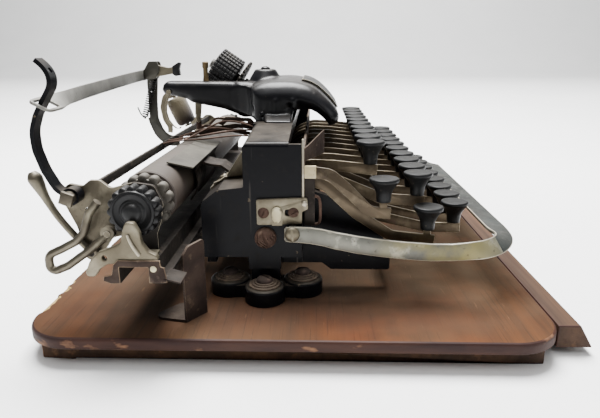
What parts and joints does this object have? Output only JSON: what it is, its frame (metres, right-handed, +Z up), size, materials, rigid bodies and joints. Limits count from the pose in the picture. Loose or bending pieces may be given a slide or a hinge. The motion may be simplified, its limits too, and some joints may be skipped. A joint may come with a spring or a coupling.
{
  "type": "type-wheel typewriter",
  "caption": "Small manual typewriter with a swinging type wheel, keys on flat levers, a wrap-around space bar, a sliding carriage with platen, and a wooden base board.",
  "frame": {"origin": "bottom centre of the base, on the surface that its battens stand on", "axes": "+X to the typist's right, +Y to the rear (from keys to platen), +Z up"},
  "size_m": [0.33, 0.2824, 0.1489],
  "materials": {
    "board_wood": "worn reddish-brown stain",
    "rail_wood": "dark stained wood",
    "black_enamel": "worn gloss black enamel",
    "brown_steel": "dull brown sheet steel",
    "dark_steel": "dark aged steel",
    "rusty_steel": "rusted and dusty",
    "aged_nickel": "dull aged nickel plate",
    "name_metal": "dark bare plate",
    "key_steel": "aged flat steel strip",
    "platen_rubber": "hard dusty rubber on a core",
    "hard_rubber": "moulded hard rubber",
    "type_rubber": "vulcanised type wheel",
    "ink_felt": "dry inked felt"
  },
  "bodies": {
    "frame": {"base_board": "board_wood", "base_rails": "rail_wood", "carriage_stop_bracket": "brown_steel", "main_frame": "black_enamel", "foot_fasteners": "rusty_steel", "top_cover": "black_enamel", "name_plate": "name_metal", "adjusting_plate": "aged_nickel", "frame_screws": "rusty_steel", "key_pivot_shaft": "aged_nickel", "key_comb": "brown_steel", "carriage_rail": "dark_steel", "paper_fingers": "rusty_steel", "paper_deflector": "aged_nickel"},
    "carriage": {"carriage_frame": "dark_steel", "carriage_end_bracket": "aged_nickel", "paper_rest_frame": "aged_nickel"},
    "platen": {"platen_roller": "platen_rubber", "platen_knobs": "hard_rubber", "ratchet_wheel": "aged_nickel"},
    "line_lever": {"line_space_lever": "aged_nickel"},
    "carriage_release": {"release_lever": "aged_nickel"},
    "rest_arm": {"paper_rest_arm": "black_enamel"},
    "finger": {"paper_finger": "aged_nickel"},
    "type_carrier": {"type_arm": "dark_steel"},
    "type_shaft": {"type_wheel_shaft": "dark_steel"},
    "wheel": {"type_wheel": "type_rubber"},
    "ink_carrier": {"ink_arm": "aged_nickel"},
    "inker": {"ink_roller": "ink_felt"},
    "spacer": {"space_bar": "aged_nickel"},
    "row1_key_01_lever": {"row1_key_01": "key_steel"},
    "row1_key_02_lever": {"row1_key_02": "key_steel"},
    "row1_key_03_lever": {"row1_key_03": "key_steel"},
    "row1_key_04_lever": {"row1_key_04": "key_steel"},
    "row1_key_05_lever": {"row1_key_05": "key_steel"},
    "row1_key_06_lever": {"row1_key_06": "key_steel"},
    "row1_key_07_lever": {"row1_key_07": "key_steel"},
    "row1_key_08_lever": {"row1_key_08": "key_steel"},
    "row1_key_09_lever": {"row1_key_09": "key_steel"},
    "row1_key_10_lever": {"row1_key_10": "key_steel"},
    "row2_key_01_lever": {"row2_key_01": "key_steel"},
    "row2_key_02_lever": {"row2_key_02": "key_steel"},
    "row2_key_03_lever": {"row2_key_03": "key_steel"},
    "row2_key_04_lever": {"row2_key_04": "key_steel"},
    "row2_key_05_lever": {"row2_key_05": "key_steel"},
    "row2_key_06_lever": {"row2_key_06": "key_steel"},
    "row2_key_07_lever": {"row2_key_07": "key_steel"},
    "row2_key_08_lever": {"row2_key_08": "key_steel"},
    "row2_key_09_lever": {"row2_key_09": "key_steel"},
    "row2_key_10_lever": {"row2_key_10": "key_steel"},
    "row3_key_01_lever": {"row3_key_01": "key_steel"},
    "row3_key_02_lever": {"row3_key_02": "key_steel"},
    "row3_key_03_lever": {"row3_key_03": "key_steel"},
    "row3_key_04_lever": {"row3_key_04": "key_steel"},
    "row3_key_05_lever": {"row3_key_05": "key_steel"},
    "row3_key_06_lever": {"row3_key_06": "key_steel"},
    "row3_key_07_lever": {"row3_key_07": "key_steel"},
    "row3_key_08_lever": {"row3_key_08": "key_steel"},
    "shift_key_upper_lever": {"shift_key_upper": "key_steel"},
    "shift_key_lower_lever": {"shift_key_lower": "key_steel"}
  },
  "joints": [
    {"name": "carriage_slide", "type": "slide", "parent": "frame", "child": "carriage", "axis": [1, 0, 0], "range_m": [-0.09, 0.09]},
    {"name": "platen_turn", "type": "hinge", "parent": "carriage", "child": "platen", "pos_m": [0, 0.08125, 0.075], "axis": [1, 0, 0], "continuous": true},
    {"name": "line_lever_push", "type": "hinge", "parent": "carriage", "child": "line_lever", "pos_m": [-0.1438, 0.1065, 0.0515], "axis": [-1, 0, 0], "range_deg": [0, 25], "stiffness_Nm_per_rad": 0.05, "springref_deg": -11.46},
    {"name": "release_lever_push", "type": "hinge", "parent": "carriage", "child": "carriage_release", "pos_m": [-0.1477, 0.096, 0.063], "axis": [1, 0, 0], "range_deg": [-4, 8]},
    {"name": "rest_arm_lean", "type": "hinge", "parent": "carriage", "child": "rest_arm", "pos_m": [-0.1453, 0.112, 0.081], "axis": [1, 0, 0], "range_deg": [-2.5, 6]},
    {"name": "finger_lift", "type": "hinge", "parent": "carriage", "child": "finger", "pos_m": [0.0052, 0.114, 0.1345], "axis": [1, 0, 0], "range_deg": [-10, 3], "stiffness_Nm_per_rad": 0.05},
    {"name": "type_arm_swing", "type": "hinge", "parent": "frame", "child": "type_carrier", "pos_m": [0.009, 0.0241, 0.0867], "axis": [-1, 0, 0], "range_deg": [0, 33.8], "stiffness_Nm_per_rad": 0.25, "springref_deg": -20.05},
    {"name": "type_shift", "type": "slide", "parent": "type_carrier", "child": "type_shaft", "axis": [0, 0.831, 0.5563], "range_m": [0, 0.0036]},
    {"name": "type_wheel_spin", "type": "hinge", "parent": "type_shaft", "child": "wheel", "pos_m": [0.009, 0.0623, 0.1324], "axis": [0, 0.831, 0.5563], "continuous": true},
    {"name": "ink_arm_swing", "type": "hinge", "parent": "frame", "child": "ink_carrier", "pos_m": [-0.017, 0.0955, 0.1205], "axis": [1, 0, 0], "range_deg": [0, 33.8]},
    {"name": "ink_roller_spin", "type": "hinge", "parent": "ink_carrier", "child": "inker", "pos_m": [0.002, 0.0943, 0.1056], "axis": [0, 0.4067, 0.9135], "continuous": true},
    {"name": "space_bar_press", "type": "hinge", "parent": "frame", "child": "spacer", "pos_m": [0, 0.009, 0.054], "axis": [1, 0, 0], "range_deg": [0, 4], "stiffness_Nm_per_rad": 0.7, "springref_deg": -22.92},
    {"name": "row1_key_01_press", "type": "hinge", "parent": "frame", "child": "row1_key_01_lever", "pos_m": [-0.09225, 0.022, 0.068], "axis": [1, 0, 0], "range_deg": [0, 7], "stiffness_Nm_per_rad": 0.15, "springref_deg": -11.46},
    {"name": "row1_key_02_press", "type": "hinge", "parent": "frame", "child": "row1_key_02_lever", "pos_m": [-0.07175, 0.022, 0.068], "axis": [1, 0, 0], "range_deg": [0, 7], "stiffness_Nm_per_rad": 0.15, "springref_deg": -11.46},
    {"name": "row1_key_03_press", "type": "hinge", "parent": "frame", "child": "row1_key_03_lever", "pos_m": [-0.05125, 0.022, 0.068], "axis": [1, 0, 0], "range_deg": [0, 7], "stiffness_Nm_per_rad": 0.15, "springref_deg": -11.46},
    {"name": "row1_key_04_press", "type": "hinge", "parent": "frame", "child": "row1_key_04_lever", "pos_m": [-0.03075, 0.022, 0.068], "axis": [1, 0, 0], "range_deg": [0, 7], "stiffness_Nm_per_rad": 0.15, "springref_deg": -11.46},
    {"name": "row1_key_05_press", "type": "hinge", "parent": "frame", "child": "row1_key_05_lever", "pos_m": [-0.01025, 0.022, 0.068], "axis": [1, 0, 0], "range_deg": [0, 7], "stiffness_Nm_per_rad": 0.15, "springref_deg": -11.46},
    {"name": "row1_key_06_press", "type": "hinge", "parent": "frame", "child": "row1_key_06_lever", "pos_m": [0.01025, 0.022, 0.068], "axis": [1, 0, 0], "range_deg": [0, 7], "stiffness_Nm_per_rad": 0.15, "springref_deg": -11.46},
    {"name": "row1_key_07_press", "type": "hinge", "parent": "frame", "child": "row1_key_07_lever", "pos_m": [0.03075, 0.022, 0.068], "axis": [1, 0, 0], "range_deg": [0, 7], "stiffness_Nm_per_rad": 0.15, "springref_deg": -11.46},
    {"name": "row1_key_08_press", "type": "hinge", "parent": "frame", "child": "row1_key_08_lever", "pos_m": [0.05125, 0.022, 0.068], "axis": [1, 0, 0], "range_deg": [0, 7], "stiffness_Nm_per_rad": 0.15, "springref_deg": -11.46},
    {"name": "row1_key_09_press", "type": "hinge", "parent": "frame", "child": "row1_key_09_lever", "pos_m": [0.07175, 0.022, 0.068], "axis": [1, 0, 0], "range_deg": [0, 7], "stiffness_Nm_per_rad": 0.15, "springref_deg": -11.46},
    {"name": "row1_key_10_press", "type": "hinge", "parent": "frame", "child": "row1_key_10_lever", "pos_m": [0.09225, 0.022, 0.068], "axis": [1, 0, 0], "range_deg": [0, 7], "stiffness_Nm_per_rad": 0.15, "springref_deg": -11.46},
    {"name": "row2_key_01_press", "type": "hinge", "parent": "frame", "child": "row2_key_01_lever", "pos_m": [-0.09725, 0.022, 0.068], "axis": [1, 0, 0], "range_deg": [0, 4.5], "stiffness_Nm_per_rad": 0.15, "springref_deg": -11.46},
    {"name": "row2_key_02_press", "type": "hinge", "parent": "frame", "child": "row2_key_02_lever", "pos_m": [-0.07675, 0.022, 0.068], "axis": [1, 0, 0], "range_deg": [0, 4.5], "stiffness_Nm_per_rad": 0.15, "springref_deg": -11.46},
    {"name": "row2_key_03_press", "type": "hinge", "parent": "frame", "child": "row2_key_03_lever", "pos_m": [-0.05625, 0.022, 0.068], "axis": [1, 0, 0], "range_deg": [0, 4.5], "stiffness_Nm_per_rad": 0.15, "springref_deg": -11.46},
    {"name": "row2_key_04_press", "type": "hinge", "parent": "frame", "child": "row2_key_04_lever", "pos_m": [-0.03575, 0.022, 0.068], "axis": [1, 0, 0], "range_deg": [0, 4.5], "stiffness_Nm_per_rad": 0.15, "springref_deg": -11.46},
    {"name": "row2_key_05_press", "type": "hinge", "parent": "frame", "child": "row2_key_05_lever", "pos_m": [-0.01525, 0.022, 0.068], "axis": [1, 0, 0], "range_deg": [0, 4.5], "stiffness_Nm_per_rad": 0.15, "springref_deg": -11.46},
    {"name": "row2_key_06_press", "type": "hinge", "parent": "frame", "child": "row2_key_06_lever", "pos_m": [0.00525, 0.022, 0.068], "axis": [1, 0, 0], "range_deg": [0, 4.5], "stiffness_Nm_per_rad": 0.15, "springref_deg": -11.46},
    {"name": "row2_key_07_press", "type": "hinge", "parent": "frame", "child": "row2_key_07_lever", "pos_m": [0.02575, 0.022, 0.068], "axis": [1, 0, 0], "range_deg": [0, 4.5], "stiffness_Nm_per_rad": 0.15, "springref_deg": -11.46},
    {"name": "row2_key_08_press", "type": "hinge", "parent": "frame", "child": "row2_key_08_lever", "pos_m": [0.04625, 0.022, 0.068], "axis": [1, 0, 0], "range_deg": [0, 4.5], "stiffness_Nm_per_rad": 0.15, "springref_deg": -11.46},
    {"name": "row2_key_09_press", "type": "hinge", "parent": "frame", "child": "row2_key_09_lever", "pos_m": [0.06675, 0.022, 0.068], "axis": [1, 0, 0], "range_deg": [0, 4.5], "stiffness_Nm_per_rad": 0.15, "springref_deg": -11.46},
    {"name": "row2_key_10_press", "type": "hinge", "parent": "frame", "child": "row2_key_10_lever", "pos_m": [0.08725, 0.022, 0.068], "axis": [1, 0, 0], "range_deg": [0, 4.5], "stiffness_Nm_per_rad": 0.15, "springref_deg": -11.46},
    {"name": "row3_key_01_press", "type": "hinge", "parent": "frame", "child": "row3_key_01_lever", "pos_m": [-0.08025, 0.022, 0.068], "axis": [1, 0, 0], "range_deg": [0, 4], "stiffness_Nm_per_rad": 0.15, "springref_deg": -11.46},
    {"name": "row3_key_02_press", "type": "hinge", "parent": "frame", "child": "row3_key_02_lever", "pos_m": [-0.05975, 0.022, 0.068], "axis": [1, 0, 0], "range_deg": [0, 4], "stiffness_Nm_per_rad": 0.15, "springref_deg": -11.46},
    {"name": "row3_key_03_press", "type": "hinge", "parent": "frame", "child": "row3_key_03_lever", "pos_m": [-0.03925, 0.022, 0.068], "axis": [1, 0, 0], "range_deg": [0, 4], "stiffness_Nm_per_rad": 0.15, "springref_deg": -11.46},
    {"name": "row3_key_04_press", "type": "hinge", "parent": "frame", "child": "row3_key_04_lever", "pos_m": [-0.01875, 0.022, 0.068], "axis": [1, 0, 0], "range_deg": [0, 4], "stiffness_Nm_per_rad": 0.15, "springref_deg": -11.46},
    {"name": "row3_key_05_press", "type": "hinge", "parent": "frame", "child": "row3_key_05_lever", "pos_m": [0.00175, 0.022, 0.068], "axis": [1, 0, 0], "range_deg": [0, 4], "stiffness_Nm_per_rad": 0.15, "springref_deg": -11.46},
    {"name": "row3_key_06_press", "type": "hinge", "parent": "frame", "child": "row3_key_06_lever", "pos_m": [0.02225, 0.022, 0.068], "axis": [1, 0, 0], "range_deg": [0, 4], "stiffness_Nm_per_rad": 0.15, "springref_deg": -11.46},
    {"name": "row3_key_07_press", "type": "hinge", "parent": "frame", "child": "row3_key_07_lever", "pos_m": [0.04275, 0.022, 0.068], "axis": [1, 0, 0], "range_deg": [0, 4], "stiffness_Nm_per_rad": 0.15, "springref_deg": -11.46},
    {"name": "row3_key_08_press", "type": "hinge", "parent": "frame", "child": "row3_key_08_lever", "pos_m": [0.06325, 0.022, 0.068], "axis": [1, 0, 0], "range_deg": [0, 4], "stiffness_Nm_per_rad": 0.15, "springref_deg": -11.46},
    {"name": "shift_key_upper_press", "type": "hinge", "parent": "frame", "child": "shift_key_upper_lever", "pos_m": [-0.1115, 0.022, 0.068], "axis": [1, 0, 0], "range_deg": [0, 6], "stiffness_Nm_per_rad": 0.15, "springref_deg": -11.46},
    {"name": "shift_key_lower_press", "type": "hinge", "parent": "frame", "child": "shift_key_lower_lever", "pos_m": [-0.1087, 0.022, 0.068], "axis": [1, 0, 0], "range_deg": [0, 4.5], "stiffness_Nm_per_rad": 0.15, "springref_deg": -11.46}
  ],
  "couplings": [
    {"joint": "ink_arm_swing", "follows": "type_arm_swing", "ratio": 1},
    {"joint": "type_shift", "follows": "shift_key_upper_press", "m_per_rad": 0.0343}
  ]
}
